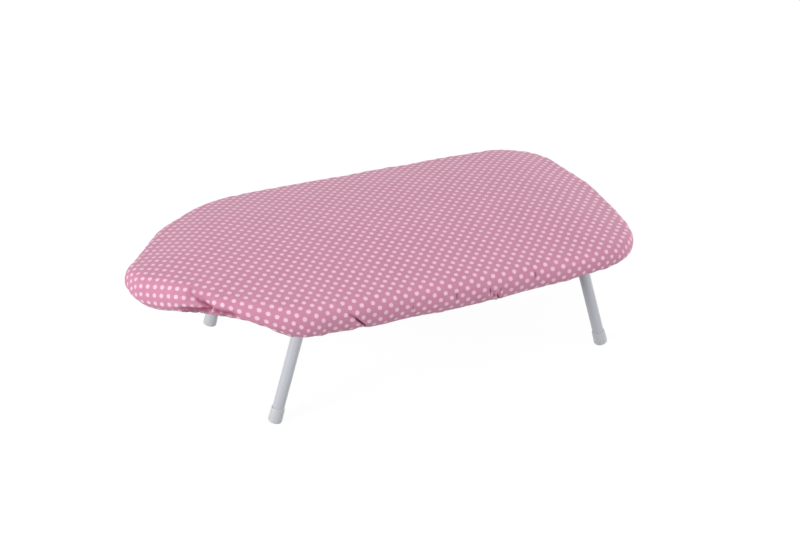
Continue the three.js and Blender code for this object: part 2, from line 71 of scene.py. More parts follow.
ARC_STEP = math.radians(1)

# Stamped deck
DECK_HEIGHT = deck_high.z
DECK_SHEET = 0.001
RIM_DEPTH = 0.024
RIM_BEND = 0.006
RIM_BEND_ROWS = 8
RIM_LIP = 0.007
DECK_COLUMN = 0.006
VENT_DIAMETER = 0.015
VENT_PITCH = 0.040
VENT_ROW_PITCH = VENT_PITCH * math.sin(math.radians(60))
VENT_MARGIN = 0.022
VENT_LAND = 0.004
VENT_LIP = 0.0016
VENT_LIP_TURNS = (math.radians(45), math.radians(90))
VENT_SIDES = 32

# Pad and cover
CROWN = 0.015
EDGE_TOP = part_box("cover")[1].z - CROWN
SPINE_INSET = 0.150
EDGE_STANDOFF = 0.009
EDGE_INSET = 0.014
EDGE_REACH = EDGE_STANDOFF + EDGE_INSET
EDGE_SQUARENESS = 2.2
CROWN_START = math.radians(80)
HEM_DROP = 0.0124
HEM_TURN = 0.004
CLOTH = 0.0006
RIM_GAP = 0.0012
PAD_GAP = 0.0022
PAD_LAP_ROWS = 32
PAD_HOLLOW = 1.8
PAD_DENT = 1.3

# Where the hem is drawn up and in
RIM_TAPER = 0.015
HEM_DRAW_UP = 0.003
HEM_DRAW_IN = 0.020
DRAW_SETBACK = 0.104
NOSE_DRAW = 0.35
TAIL_DRAW = 0.45
TAIL_DRAW_LENGTH = 0.285

# Cloth mesh: columns round the rim, and rows from the spine to the hem
COLUMN_PITCH = 0.0015
FINE_PITCH = 0.0006
FINE_REACH = 0.020
RIM_SAMPLES = 4000
CROWN_ROWS = 18
EDGE_ROWS = 56
TURN_ROWS = 5

# Where the hem hangs lower or is drawn higher on the right side:
# distance from the nose along the right rim, reach to each side, and rise
NOSE_SAG = (0.046, 0.042, -0.0045)
FLANK_PULL = (0.140, 0.044, 0.0048)
SHOULDER_SAG = (0.215, 0.040, -0.0025)
SIDE_SAG = (0.415, 0.150, -0.0036)
TUCK_PULL = (0.337, 0.012, 0.0032)
RIGHT_HEM = (NOSE_SAG, FLANK_PULL, SHOULDER_SAG, SIDE_SAG, TUCK_PULL)
# Where the pad is bunched up along the right edge, from the nose to the shoulder
EDGE_PUFF = (0.100, 0.160, 0.009)

# Gathers along the hem, from where the rim runs straight to where it turns
GATHER_PITCH = (0.020, 0.0085)
GATHER_DEPTH = (0.0006, 0.0020)
GATHER_TOP = (0.016, 0.027)
# The turn at which they are fullest, in radians per metre, and the span it is measured over
GATHER_TURN = 12.0
TURN_SPAN = 0.012
# How much one gather differs from the next
DEPTH_SPREAD = (0.6, 1.4)
SIZE_SPREAD = (0.7, 1.3)
GATHER_LEAN = 0.15
# A gather's section in pitches: width of its groove, then place and width of its ridges
GATHER_GROOVE = 0.2
GATHER_RIDGE = (0.5, 0.3)
GATHER_RIDGE_HEIGHT = 0.5
# Share of its height up to which a gather is at its full depth
GATHER_FULL = 0.3
# Where the right hem lies smooth: distance from the nose, reach, and share of the gathers gone
SMOOTH_HEM = (0.270, 0.100, 0.75)

# How far a fold reaches past its deep end, and what is left of its width where it runs out
FOLD_LEAD = 0.004
FOLD_TIP = 0.5
# A fold's section in widths of its groove: place and width of each lip, and of the lapped side
NEAR_LIP = (-2.6, 1.9)
FAR_LIP = (2.8, 2.2)
FAR_LIP_HEIGHT = 0.4
LAPPED_SIDE = (-1.4, 1.4)

# Slow waves in the pad under the cloth, and where they start and run out above the hem
WAVE_COUNTS = (5, 8, 13, 19)
WAVE_HEIGHT = 0.0005
WAVE_END = (0.050, 0.085)
RIPPLE_COUNT = 9
RIPPLE_LENGTH = (0.014, 0.034)
RIPPLE_HEIGHT = 0.00012
RIPPLE_END = (0.060, 0.100)
SWELL_START = (0.0, 0.02)

# Hem tape and elastic
TAPE = 0.0008
TAPE_LAP = 0.003
TAPE_GAP = 0.0002
POCKET_RADIUS = 0.0018
POCKET_TURN = math.radians(130)
POCKET_STEPS = 14
ELASTIC_RADIUS = 0.0013
ELASTIC_TURN = math.radians(150)
ELASTIC_SIDES = 11
STITCH_PITCH = 0.0034
STITCH_LENGTH = 0.0027
STITCH_INSET = 0.0018
STITCH_ROWS = 7
STITCH_SIDES = 8
THREAD_RADIUS = 0.00022

# Print: white dots on a square lattice, laid at about 45 degrees to the board's length
SHEET_MAP = "sheet"
# The cloth's attribute that holds how much painted crease shade each point gets
CREASE_SHADE_MAP = "groove"
DOT_PITCH = 0.01113
DOT_DIAMETER = 0.0058
DOT_TURN = math.radians(45.89)
DOT_START = (0.062, -0.219)
# How the print is pulled askew: to the right side, at the nose, at the tail and at random
RIGHT_SLIP = (-0.0215, 0.0260)
NOSE_SLIP = (0.0033, -0.0071)
NOSE_SLIP_SPAN = (0.15, 0.31)
TAIL_SLIP = (-0.0058, -0.0207)
TAIL_SLIP_AT = (0.37, 0.05)
TAIL_SLIP_REACH = 0.12
PULL = 0.003
PULL_LENGTH = 0.045
# Ragged and soft edges of the dots, in dot pitches, and the grain of the ragged edge
BLEED = 0.06
BLEED_GRAIN = 0.0016
DOT_BLUR = 0.03

# Weaves and grains
WEAVE_PITCH = 0.0011
TAPE_RIB = 0.0012
BRAID_RIB = 0.0009
THREAD_TWIST = 0.0003
ZINC_SPANGLE = 0.004
# Radians in one metre along an axis of Blender's diagonal wave texture, at scale 1
DIAGONAL_WAVE = 10

# Colours
PINK = (0.538, 0.218, 0.326, 1)
PINK_PALE = (0.598, 0.258, 0.372, 1)
DOT_WHITE = (0.82, 0.555, 0.672, 1)
# Painted crease shade: the colours that the print is darkened towards in creases and hollows, crimson in
# the deepest
CREASE_SHADE_PINK = (0.235, 0.044, 0.092, 1)
CREASE_SHADE_CRIMSON = (0.58, 0.026, 0.13, 1)
TAPE_PINK = (0.55, 0.23, 0.34, 1)
ELASTIC_WHITE = (0.85, 0.84, 0.82, 1)
THREAD_PINK = (0.70, 0.42, 0.52, 1)
FELT_WHITE = (0.80, 0.79, 0.75, 1)
COAT_WHITE = (0.50, 0.515, 0.56, 1)
CAP_WHITE = (0.55, 0.565, 0.59, 1)
ZINC = (0.62, 0.63, 0.65, 1)
ZINC_DARK = (0.50, 0.51, 0.53, 1)

# Leg frames and foot caps
SPLAY = math.radians(16)
TUBE_RADIUS = 0.008
TUBE_WALL = 0.001
TUBE_SIDES = 40
BEND_RADIUS = 0.024
BEND_STEPS = 20
BEND_FLATTEN = 0.05
CLEARANCE = 0.0003
CAP_WALL = 0.0014
CAP_LENGTH = 0.0215
CAP_BASE = 0.004
CAP_ROUND = 0.003
CAP_ROUND_STEPS = 6
CAP_TAPER = 0.0005
CAP_SLOPE = 0.0016
CAP_SLOPE_ROWS = 8
CAP_GRIP = 0.00004
CAP_SIDES = 64
SOLE_CUT = 0.0014

# Rivets and folded steel
RIVET_SHANK = 0.002
RIVET_HEAD_HEIGHT = 0.002
RIVET_HEAD_ROWS = 10
RIVET_TAIL_RADIUS = 0.0032
RIVET_TAIL_HEIGHT = 0.0012
RIVET_TAIL_ROUND = 0.0005
RIVET_TAIL_STEPS = 4
RIVET_SIDES = 32
STEEL_EDGE = 0.0004
STEEL_EDGE_STEPS = 2

# Points closer than this are one, and a vector shorter than TINY has no direction
WELD = 1e-5
TINY = 1e-9
# Edges that turn more than this are shaded sharp
SHARP_CUT = math.radians(35)
SHARP_ROUND = math.radians(40)
SHARP_SHEET = math.radians(50)
SHARP_THREAD = math.radians(60)

# Camera, as the photograph was taken
CAMERA_TARGET = Vector((0.0225, 0.0, 0.1617))
CAMERA_DISTANCE = 2.520
CAMERA_AZIMUTH = math.radians(22.90)
CAMERA_ELEVATION = math.radians(27.02)
CAMERA_LENS = 81.0
CAMERA_SENSOR = 36.0
CAMERA_SHIFT = (0.01496, -0.03436)

# Studio
FLOOR_REACH = 20.0
FLOOR_GREY = (0.5, 0.5, 0.5, 1)
FLOOR_GLOW = 1.11
FLOOR_GLOW_SHARE = 0.86
SKY_WHITE = (1, 1, 1, 1)
SKY_STRENGTH = 0.42
SKY_STRENGTH_SEEN = 1.0
# Round lamps that face the board: place, width and power in watts
LAMPS = {
    "left_key": ((-2.6, -0.9, 1.1), 1.2, 59),
    "right_fill": ((2.2, -1.7, 0.5), 1.2, 31),
    "right_rim": ((2.3, 1.0, 0.6), 0.8, 16),
    "top": ((0.2, 0.2, 2.7), 1.8, 18),
}

random = np.random.default_rng(seed=11)


# Curves

def smoothstep(value, low, high):
    share = np.clip((value - low) / (high - low), 0, 1)
    return share * share * (3 - 2 * share)


def bell(value, middle, reach, height):
    """A rounded hill that ends at its reach to each side."""
    share = np.clip(np.abs(value - middle) / reach, 0, 1)
    return height * (1 - smoothstep(share, 0, 1))


def hump(value, middle, width):
    """A hill of height 1 that thins out on both sides."""
    return np.exp(-((value - middle) / width) ** 2)


def full_turn(count):
    return np.arange(count) * 2 * math.pi / count


def quarter_turn(count):
    return np.linspace(0, math.pi / 2, count)


def arc(centre, radius, start, end, steps):
    """Points of an arc in a plane, from one angle to another."""
    turns = np.linspace(start, end, steps + 1)
    return [(centre[0] + radius * math.cos(t), centre[1] + radius * math.sin(t)) for t in turns]


def unit(vectors):
    """Vectors of length 1; one with no length stays as it is."""
    return vectors / np.maximum(np.linalg.norm(vectors, axis=-1, keepdims=True), TINY)


# Plan of the board

def plan_corners():
    """Corners of half the plan from nose to tail, each with the radius that rounds it."""
    apex_x = TAIL_X + TAIL_RADIUS * (1 / math.cos(TAIL_SWEEP) - 1)
    swept_x = apex_x - math.tan(TAIL_SWEEP) * HALF_WIDTH
    return [
        (Vector((NOSE_X, 0)), 0),
        (Vector((NOSE_X, NOSE_FLAT / 2)), NOSE_RADIUS),
        (Vector((NOSE_X + FLANK_SETBACK, FLANK_WIDTH / 2)), FLANK_RADIUS),
        (Vector((NOSE_X + SHOULDER_SETBACK, HALF_WIDTH)), SHOULDER_RADIUS),
        (Vector((swept_x, HALF_WIDTH)), TAIL_CORNER_RADIUS),
        (Vector((apex_x, 0)), TAIL_RADIUS),
        (Vector((swept_x, -HALF_WIDTH)), 0),
    ]


def corner_arc(before, corner, after, share):
    """Points and headings along one rounded corner; share is how much of its turn is made."""
    (start, start_radius), (at, radius), (end, _) = before, corner, after
    inward, outward = at - start, end - at
    heading = math.atan2(inward.y, inward.x)
    turn = math.atan2(inward.cross(outward), inward.dot(outward))
    reach = inward.length if start_radius else 2 * inward.length
    tangent = min(radius * math.tan(abs(turn) / 2), reach / 2, outward.length / 2)
    radius = tangent / math.tan(abs(turn) / 2)
    bulge = radius if turn < 0 else -radius
    first = at - inward.normalized() * tangent
    centre = first - Vector((-math.sin(heading), math.cos(heading))) * bulge
    steps = math.ceil(abs(turn) * share / ARC_STEP)
    headings = [heading + turn * share * i / steps for i in range(steps + 1)]
    points = [centre + Vector((-math.sin(h), math.cos(h))) * bulge for h in headings]
    return points, headings


def half_rim():
    """Half of the rim from nose to tail, as arc lengths, points and headings."""
    corners = plan_corners()
    points, headings = [corners[0][0]], [math.pi / 2]
    for i in range(1, len(corners) - 1):
        share = 0.5 if i == len(corners) - 2 else 1
        arc_points, arc_headings = corner_arc(corners[i - 1], corners[i], corners[i + 1], share)
        points += arc_points
        headings += arc_headings
    points = np.array(points)
    along = np.concatenate([[0], np.cumsum(np.linalg.norm(np.diff(points, axis=0), axis=1))])
    return along, points, np.array(headings)


rim_along, rim_points, rim_headings = half_rim()
HALF_RIM = rim_along[-1]


def hem_draw(x):
    """How strongly the hem is drawn up and in at one station, from 0 to 1."""
    from_nose = x - NOSE_X
    nose = NOSE_DRAW + (1 - NOSE_DRAW) * smoothstep(from_nose, 0, DRAW_SETBACK)
    flank = 1 - smoothstep(from_nose, DRAW_SETBACK, SHOULDER_SETBACK)
    tail = TAIL_DRAW * (1 - smoothstep(TAIL_X - x, 0, TAIL_DRAW_LENGTH))
    return np.where(from_nose < DRAW_SETBACK, nose, flank + tail)


class Plan:
    """The rim at stations round the board, from the nose along the left side and back on the right."""

    def __init__(self, stations):
        self.along = stations
        folded = np.where(stations <= HALF_RIM, stations, 2 * HALF_RIM - stations)
        side = np.where(stations <= HALF_RIM, 1.0, -1.0)
        heading = np.interp(folded, rim_along, rim_headings)
        x = np.interp(folded, rim_along, rim_points[:, 0])
        y = np.interp(folded, rim_along, rim_points[:, 1])
        self.at = np.stack([x, side * y], 1)
        self.normal = np.stack([-np.sin(heading), side * np.cos(heading)], 1)
        spine_x = np.clip(x, NOSE_X + SPINE_INSET, TAIL_X - SPINE_INSET)
        self.spine = np.stack([spine_x, np.zeros_like(x)], 1)
        self.draw = hem_draw(x)
        self.rim_bottom = DECK_HEIGHT - RIM_DEPTH + RIM_TAPER * self.draw
        self.from_nose = np.where(stations < HALF_RIM, -stations, 2 * HALF_RIM - stations)
        lift = sum(bell(self.from_nose, *place) for place in RIGHT_HEM)
        self.hem_height = self.rim_bottom - HEM_DROP + HEM_DRAW_UP * self.draw + lift
        self.edge_top = EDGE_TOP + bell(self.from_nose, *EDGE_PUFF)

    def ring(self, inset, height, to_spine=0.0):
        """Points at an inset from the rim and at a height, moved a share of the way to the spine."""
        count = len(self.along)
        flat = self.at - self.normal * np.broadcast_to(inset, count)[:, None]
        flat = flat + (self.spine - flat) * to_spine
        return np.column_stack([flat, np.broadcast_to(height, count)])

    def edge_ring(self, angle, shrink):
        """One ring of the rounded edge: a squarish oval section, shrunk for the layers inside it."""
        power = 2 / EDGE_SQUARENESS
        sine, cosine = math.sin(angle), max(math.cos(angle), 0)
        up = math.copysign(abs(sine) ** power, sine)
        inset = EDGE_INSET - (EDGE_REACH - shrink) * cosine ** power
        tuck = HEM_DRAW_IN * sine ** 2 if angle < 0 else 0
        middle = (EDGE_TOP + self.hem_height) / 2
        end = self.edge_top if angle > 0 else self.hem_height
        reach = np.abs(end - middle) - shrink
        return self.ring(inset + tuck * self.draw, middle + reach * up)

    def crown_ring(self, to_spine, shrink):
        """One ring of the crowned top, a parabola from the edge to the spine."""
        edge = self.edge_ring(CROWN_START, shrink)
        lift = (EDGE_TOP + CROWN - self.edge_top) * (1 - (1 - to_spine) ** 2)
        crest = EDGE_TOP - shrink + CROWN
        height = (edge[:, 2] + lift) * (1 - to_spine ** 2) + crest * to_spine ** 2
        flat = edge[:, :2] + (self.spine - edge[:, :2]) * to_spine
        return np.column_stack([flat, height])


# Meshes

def link(name, data):
    made = bpy.data.objects.new(name, data)
    bpy.context.scene.collection.objects.link(made)
    return made


def add_piece(name, mesh, finish, slot, body, *nodes, sharp=None):
    """A piece with its finish, the body that it rides on and the nodes that it stands for."""
    mesh.shade_smooth()
    if sharp is not None:
        mesh.set_sharp_from_angle(angle=sharp)
    mesh.materials.append(finish)
    made = link(name, mesh)
    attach(made, body)
    if nodes:
        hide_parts(*nodes)
    return made


def grid_faces(rows, columns, closed=False):
    """Faces between rows of points that run round, with the last row joined to the first if closed."""
    here = np.arange(rows * columns).reshape(rows, columns)
    if closed:
        here = np.vstack([here, here[:1]])
    right = np.roll(here, -1, axis=1)
    quads = np.stack([here[:-1], right[:-1], right[1:], here[1:]], -1)
    return quads.reshape(-1, 4).tolist()


def weld(mesh):
    shape = bmesh.new()
    shape.from_mesh(mesh)
    bmesh.ops.remove_doubles(shape, verts=shape.verts, dist=WELD)
    bmesh.ops.dissolve_degenerate(shape, edges=shape.edges, dist=WELD / 10)
    shape.to_mesh(mesh)
    shape.free()


def skin(name, rings, closed=False, sheet=None, groove=None):
    """A mesh over rings of points.

    sheet is each point's place on the flat cloth, and groove is how much painted crease shade it gets.
    """
    rings = np.asarray(rings)
    rows, columns = rings.shape[:2]
    mesh = bpy.data.meshes.new(name)
    mesh.from_pydata(rings.reshape(-1, 3).tolist(), [], grid_faces(rows, columns, closed))
    if sheet is not None:
        layer = mesh.uv_layers.new(name=SHEET_MAP)
        corners = np.zeros(len(mesh.loops), np.int32)
        mesh.loops.foreach_get("vertex_index", corners)
        places = np.asarray(sheet).reshape(-1, 2)[corners]
        layer.uv.foreach_set("vector", places.astype(np.float32).ravel())
    if groove is not None:
        depth = mesh.attributes.new(CREASE_SHADE_MAP, "FLOAT", "POINT")
        depth.data.foreach_set("value", groove.astype(np.float32).ravel())
    weld(mesh)
    return mesh


def lathe(name, profile, sides):
    """A closed mesh turned about Z from (radius, height) pairs, drawn from the bottom up."""
    turns = full_turn(sides)
    rings = [np.stack([r * np.cos(turns), r * np.sin(turns), np.full(sides, h)], 1) for r, h in profile]
    return skin(name, rings)


def add_solidify(made, thickness, even=False):
    shell = made.modifiers.new("thickness", "SOLIDIFY")
    shell.thickness = thickness
    shell.offset = -1
    shell.use_even_offset = even


# Finishes

class Nodes:
    """A node tree, with short ways to add nodes and feed their sockets.

    A socket is given by its name, with _ for a space, or by its number after a _.
    """

    def __init__(self, tree):
        self.tree = tree

    def feed(self, node, **sockets):
        for name, value in sockets.items():
            key = int(name[1:]) if name.startswith("_") else name.replace("_", " ")
            if isinstance(value, bpy.types.NodeSocket):
                self.tree.links.new(value, node.inputs[key])
            else:
                node.inputs[key].default_value = value

    def node(self, kind, settings=None, **sockets):
        made = self.tree.nodes.new(kind)
        for name, value in (settings or {}).items():
            setattr(made, name, value)
        self.feed(made, **sockets)
        return made

    def math(self, operation, first, second=0.0):
        return self.node("ShaderNodeMath", {"operation": operation}, _0=first, _1=second).outputs[0]

    def spread(self, value, low, high):
        """The value, from 0 to 1, spread between low and high."""
        return self.node("ShaderNodeMapRange", Value=value, To_Min=low, To_Max=high).outputs[0]


class Finish(Nodes):
    """A material being made, with short ways to vary its sockets over the surface."""

    def __init__(self, name, **sockets):
        self.material = bpy.data.materials.new(name)
        self.material.use_nodes = True
        super().__init__(self.material.node_tree)
        self.shader = self.tree.nodes["Principled BSDF"]
        self.set(**sockets)

    def set(self, **sockets):
        self.feed(self.shader, **sockets)

    def place(self):
        return self.node("ShaderNodeTexCoord").outputs["Object"]

    def vector(self, operation, first, **sockets):
        made = self.node("ShaderNodeVectorMath", {"operation": operation}, _0=first, **sockets)
        return made.outputs["Value" if operation == "DISTANCE" else "Vector"]

    def noise(self, place, size, detail=2.0):
        return self.node("ShaderNodeTexNoise", Vector=place, Scale=1 / size, Detail=detail)

    def clouds(self, place, size, detail=2.0):
        """Noise from 0 to 1, with forms of about one size."""
        return self.noise(place, size, detail).outputs["Fac"]

    def jitter(self, place, size, reach):
        """A random shift in the plane that changes over about one size."""
        middle = (0.5, 0.5, 0.5)
        shift = self.vector("SUBTRACT", self.noise(place, size).outputs["Color"], _1=middle)
        return self.vector("MULTIPLY", shift, _1=(reach, reach, 0))

    def mix(self, share, first, second):
        made = self.node("ShaderNodeMix", {"data_type": "RGBA"}, _0=share, _6=first, _7=second)
        return made.outputs[2]

    def shade(self, colour, cloud, low, high):
        """Sets the colour, darker and lighter with a cloud."""
        self.set(Base_Color=self.vector("MULTIPLY", colour[:3], _1=self.spread(cloud, low, high)))

    def bump(self, height, distance, strength):
        made = self.node("ShaderNodeBump", Height=height, Distance=distance, Strength=strength)
        self.set(Normal=made.outputs[0])


def weave_height(finish, sheet):
    """Plain weave: threads of one pitch that pass over and under each other."""
    apart = finish.node("ShaderNodeSeparateXYZ", Vector=sheet)
    waves = [
        finish.math("SINE", finish.math("MULTIPLY", apart.outputs[axis], 2 * math.pi / WEAVE_PITCH))
        for axis in (0, 1)
    ]
    return finish.math("MULTIPLY", *waves)


def dot_mask(finish, sheet):
    """1 on the dots of the print and 0 between them, with ragged edges and rows pulled askew."""
    pulled = finish.vector("ADD", sheet, _1=finish.jitter(sheet, PULL_LENGTH, PULL))
    lattice = finish.node(
        "ShaderNodeMapping",
        Vector=pulled,
        Location=(0.5 - DOT_START[0], 0.5 - DOT_START[1], 0),
        Rotation=(0, 0, -DOT_TURN),
        Scale=(1 / DOT_PITCH, 1 / DOT_PITCH, 0),
    ).outputs[0]
    ragged = finish.vector("ADD", lattice, _1=finish.jitter(sheet, BLEED_GRAIN, BLEED))
    away = finish.vector("DISTANCE", finish.vector("FRACTION", ragged), _1=(0.5, 0.5, 0))
    radius = DOT_DIAMETER / 2 / DOT_PITCH
    return finish.node(
        "ShaderNodeMapRange",
        {"interpolation_type": "SMOOTHSTEP"},
        Value=away, From_Min=radius - DOT_BLUR, From_Max=radius + DOT_BLUR, To_Min=1.0, To_Max=0.0,
    ).outputs[0]


def printed_cotton():
    finish = Finish(
        "printed_cotton",
        Roughness=0.86, Specular_IOR_Level=0.25, Sheen_Weight=0.2, Sheen_Roughness=0.45,
    )
    sheet = finish.node("ShaderNodeUVMap", {"uv_map": SHEET_MAP}).outputs["UV"]
    groove = finish.node("ShaderNodeAttribute", {"attribute_name": CREASE_SHADE_MAP}).outputs["Fac"]
    weave = weave_height(finish, sheet)
    ground = finish.mix(finish.clouds(sheet, size=0.055, detail=3), PINK, PINK_PALE)
    ink = finish.spread(finish.clouds(sheet, size=0.009), low=0.70, high=1.15)
    printed = finish.mix(finish.math("MULTIPLY", dot_mask(finish, sheet), ink), ground, DOT_WHITE)
    woven_print = finish.vector("MULTIPLY", printed, _1=finish.spread(weave, low=0.985, high=1.015))
    # Painted shade: the print darkens towards dark pink where the cloth is creased, and past 1 towards
    # crimson
    shaded_print = finish.mix(groove, woven_print, CREASE_SHADE_PINK)
    colour = finish.mix(finish.math("SUBTRACT", groove, 1.0), shaded_print, CREASE_SHADE_CRIMSON)
    finish.set(Base_Color=colour)
    finish.bump(weave, distance=0.00012, strength=0.35)
    return finish.material


def woven(name, colour, pitch):
    finish = Finish(name, Roughness=0.88, Sheen_Weight=0.25, Sheen_Roughness=0.5)
    place = finish.place()
    ribs = finish.node(
        "ShaderNodeTexWave",
        {"bands_direction": "DIAGONAL"},
        Vector=place, Scale=2 * math.pi / (DIAGONAL_WAVE * pitch),
    )
    finish.shade(colour, finish.clouds(place, size=0.004, detail=3), low=0.86, high=1.1)
    finish.bump(ribs.outputs["Fac"], distance=0.0002, strength=0.4)
    return finish.material


def felt():
    finish = Finish("felt", Roughness=0.95, Sheen_Weight=0.3)
    fibres = finish.clouds(finish.place(), size=0.0014, detail=5)
    finish.shade(FELT_WHITE, fibres, low=0.8, high=1.1)
    finish.bump(fibres, distance=0.0006, strength=0.6)
    return finish.material


def powder_coat():
    finish = Finish("white_coat", Coat_Weight=0.15, Coat_Roughness=0.25)
    place = finish.place()
    cloudy = finish.clouds(place, size=0.035, detail=3)
    finish.shade(COAT_WHITE, cloudy, low=0.96, high=1.03)
    finish.set(Roughness=finish.spread(cloudy, low=0.34, high=0.46))
    finish.bump(finish.clouds(place, size=0.0022), distance=0.0001, strength=0.25)
    return finish.material


def zinc_plate():
    finish = Finish("zinc_plate", Metallic=1.0)
    place = finish.place()
    spangle = finish.node("ShaderNodeTexVoronoi", Vector=place, Scale=1 / ZINC_SPANGLE)
    grains = finish.node("ShaderNodeSeparateColor", Color=spangle.outputs["Color"]).outputs[0]
    haze = finish.clouds(place, size=0.012, detail=4)
    finish.set(
        Base_Color=finish.mix(grains, ZINC_DARK, ZINC),
        Roughness=finish.spread(haze, low=0.28, high=0.5),
    )
    finish.bump(finish.clouds(place, size=0.0009), distance=0.00005, strength=0.3)
    return finish.material


def moulded_plastic():
    finish = Finish(
        "moulded_plastic",
        Roughness=0.42, Subsurface_Weight=0.25, Subsurface_Scale=1.0,
        Subsurface_Radius=(0.004, 0.004, 0.0045),
    )
    place = finish.place()
    finish.shade(CAP_WHITE, finish.clouds(place, size=0.012, detail=3), low=0.95, high=1.04)
    finish.bump(finish.clouds(place, size=0.0011), distance=0.00008, strength=0.25)
    return finish.material


COTTON = printed_cotton()
BINDING = woven("binding_tape", TAPE_PINK, TAPE_RIB)
BRAID = woven("braided_elastic", ELASTIC_WHITE, BRAID_RIB)
THREAD = woven("thread", THREAD_PINK, THREAD_TWIST)
FELT = felt()
COAT = powder_coat()
PLATED = zinc_plate()
PLASTIC = moulded_plastic()


# Cover

class Fold(NamedTuple):
    """A crease in the cloth on the right side, from its deep end to where it runs out.

    Each end is a place on the cloth: how far from the nose along the rim, and up from the hem.
    width and depth are its groove's, and rise is how far its lips stand up. lap is how far one
    side slides over the other. The last field is painted shade: how far the colour in its groove is
    darkened, past 1 towards crimson.
    """

    start: tuple
    end: tuple
    width: float
    depth: float
    rise: float
    lap: float = 0.0
    painted_shade: float = 0.8


# Folds in the cloth; the last value of each paints shade into its groove
FOLDS = [
    # The tuck behind the shoulder, with one side lapped over the other, and its thin end
    Fold((0.3392, 0.0228), (0.3190, 0.0498), 0.0015, 0.0037, 0.0012, lap=0.0014, painted_shade=1.9),
    Fold((0.3270, 0.0416), (0.3120, 0.0532), 0.0013, 0.0016, 0.0006, painted_shade=0.55),
    # The short gathers further back, fanned out from one point of the hem
    Fold((0.5180, 0.0360), (0.5163, 0.0490), 0.0012, 0.0018, 0.0007, painted_shade=0.5),
    Fold((0.5245, 0.0300), (0.5208, 0.0400), 0.0012, 0.0015, 0.0007, painted_shade=0.5),
    Fold((0.5335, 0.0205), (0.5255, 0.0390), 0.0012, 0.0027, 0.0010, painted_shade=0.7),
    Fold((0.5312, 0.0345), (0.5340, 0.0445), 0.0012, 0.0014, 0.0007, painted_shade=0.5),
    # Single puckers along the side
    Fold((0.4688, 0.0420), (0.4688, 0.0525), 0.0015, 0.0013, 0.0006, painted_shade=0.5),
    Fold((0.5850, 0.0465), (0.5845, 0.0570), 0.0015, 0.0012, 0.0006, painted_shade=0.45),
    Fold((0.4066, 0.0375), (0.4066, 0.0465), 0.0012, 0.0010, 0.0004, painted_shade=0.3),
    # The hollow and the crease where the nose meets the flank
    Fold((0.1340, 0.0560), (0.0900, 0.0720), 0.0150, 0.0038, 0.0, painted_shade=0.2),
    Fold((0.1387, 0.0534), (0.1010, 0.0675), 0.0044, 0.0058, 0.0012, lap=0.0010, painted_shade=0.85),
    Fold((0.1085, 0.0645), (0.0995, 0.0800), 0.0038, 0.0022, 0.0006, painted_shade=0.35),
    # The hem drawn in and bunched under them
    Fold((0.1354, 0.0512), (0.0740, 0.0385), 0.0042, 0.0044, 0.0, painted_shade=1.0),
    Fold((0.1330, 0.0455), (0.0820, 0.0350), 0.0070, 0.0024, 0.0, painted_shade=0.9),
    Fold((0.1442, 0.0514), (0.1810, 0.0526), 0.0038, 0.0034, 0.0, painted_shade=0.85),
    Fold((0.1200, 0.0200), (0.1110, 0.0570), 0.0034, 0.0036, 0.0010),
    Fold((0.1020, 0.0200), (0.0960, 0.0540), 0.0030, 0.0030, 0.0010),
    Fold((0.1620, 0.0200), (0.1510, 0.0590), 0.0036, 0.0030, 0.0010),
]


def column_stations():
    """Arc lengths round the rim for the cloth's columns, closer together at the folds."""
    along = np.linspace(0, HALF_RIM, RIM_SAMPLES)
    pitch = np.full_like(along, COLUMN_PITCH)
    for fold in FOLDS:
        middle = (fold.start[0] + fold.end[0]) / 2
        reach = FINE_REACH + abs(fold.start[0] - fold.end[0]) / 2
        nearness = 1 - smoothstep(np.abs(along - middle), reach / 2, reach)
        pitch = np.minimum(pitch, COLUMN_PITCH + (FINE_PITCH - COLUMN_PITCH) * nearness)
    columns = np.concatenate([[0], np.cumsum(np.diff(along) / pitch[:-1])])
    half = np.interp(np.linspace(0, columns[-1], math.ceil(columns[-1])), columns, along)
    return np.concatenate([half, 2 * HALF_RIM - half[-2:0:-1]])


def shell_rows(plan, shrink):
    """Rings from the spine over the edge to the bottom, for the cloth or a layer inside it."""
    crown = [plan.crown_ring(share, shrink) for share in np.linspace(1, 0, CROWN_ROWS)]
    angles = np.linspace(CROWN_START, -math.pi / 2, EDGE_ROWS)
    return crown + [plan.edge_ring(angle, shrink) for angle in angles[1:]]


def cloth_rows(plan):
    """The cloth's rings, with the hem turned under."""
    turn = [
        plan.ring(EDGE_INSET + HEM_TURN * share + HEM_DRAW_IN * plan.draw, plan.hem_height)
        for share in np.linspace(0, 1, TURN_ROWS)[1:]
    ]
    return np.array(shell_rows(plan, 0) + turn)


def sheet_places(plan, rows):
    """Where each point lies on the flat cloth, before it is drawn over the edge and pulled askew."""
    edge_row = CROWN_ROWS - 1
    flat = rows[:, :, :2].copy()
    steps = np.linalg.norm(np.diff(rows[edge_row:], axis=0), axis=2)
    out = np.cumsum(steps, axis=0)
    flat[edge_row + 1:] = flat[edge_row] + plan.normal * out[:, :, None]
    right = np.clip(-flat[:, :, 1], 0, None)
    nose = smoothstep(-flat[:, :, 0], *NOSE_SLIP_SPAN)
    tail = hump(np.linalg.norm(flat - np.array(TAIL_SLIP_AT), axis=2), 0, TAIL_SLIP_REACH)
    slips = ((right, RIGHT_SLIP), (nose, NOSE_SLIP), (tail, TAIL_SLIP))
    return flat + sum(share[:, :, None] * np.array(slip) for share, slip in slips)


def up_from_hem(rows):
    """How far up the cloth each point lies from the hem."""
    steps = np.linalg.norm(np.diff(rows, axis=0), axis=2)
    return np.concatenate([np.cumsum(steps[::-1], axis=0)[::-1], np.zeros((1, rows.shape[1]))])


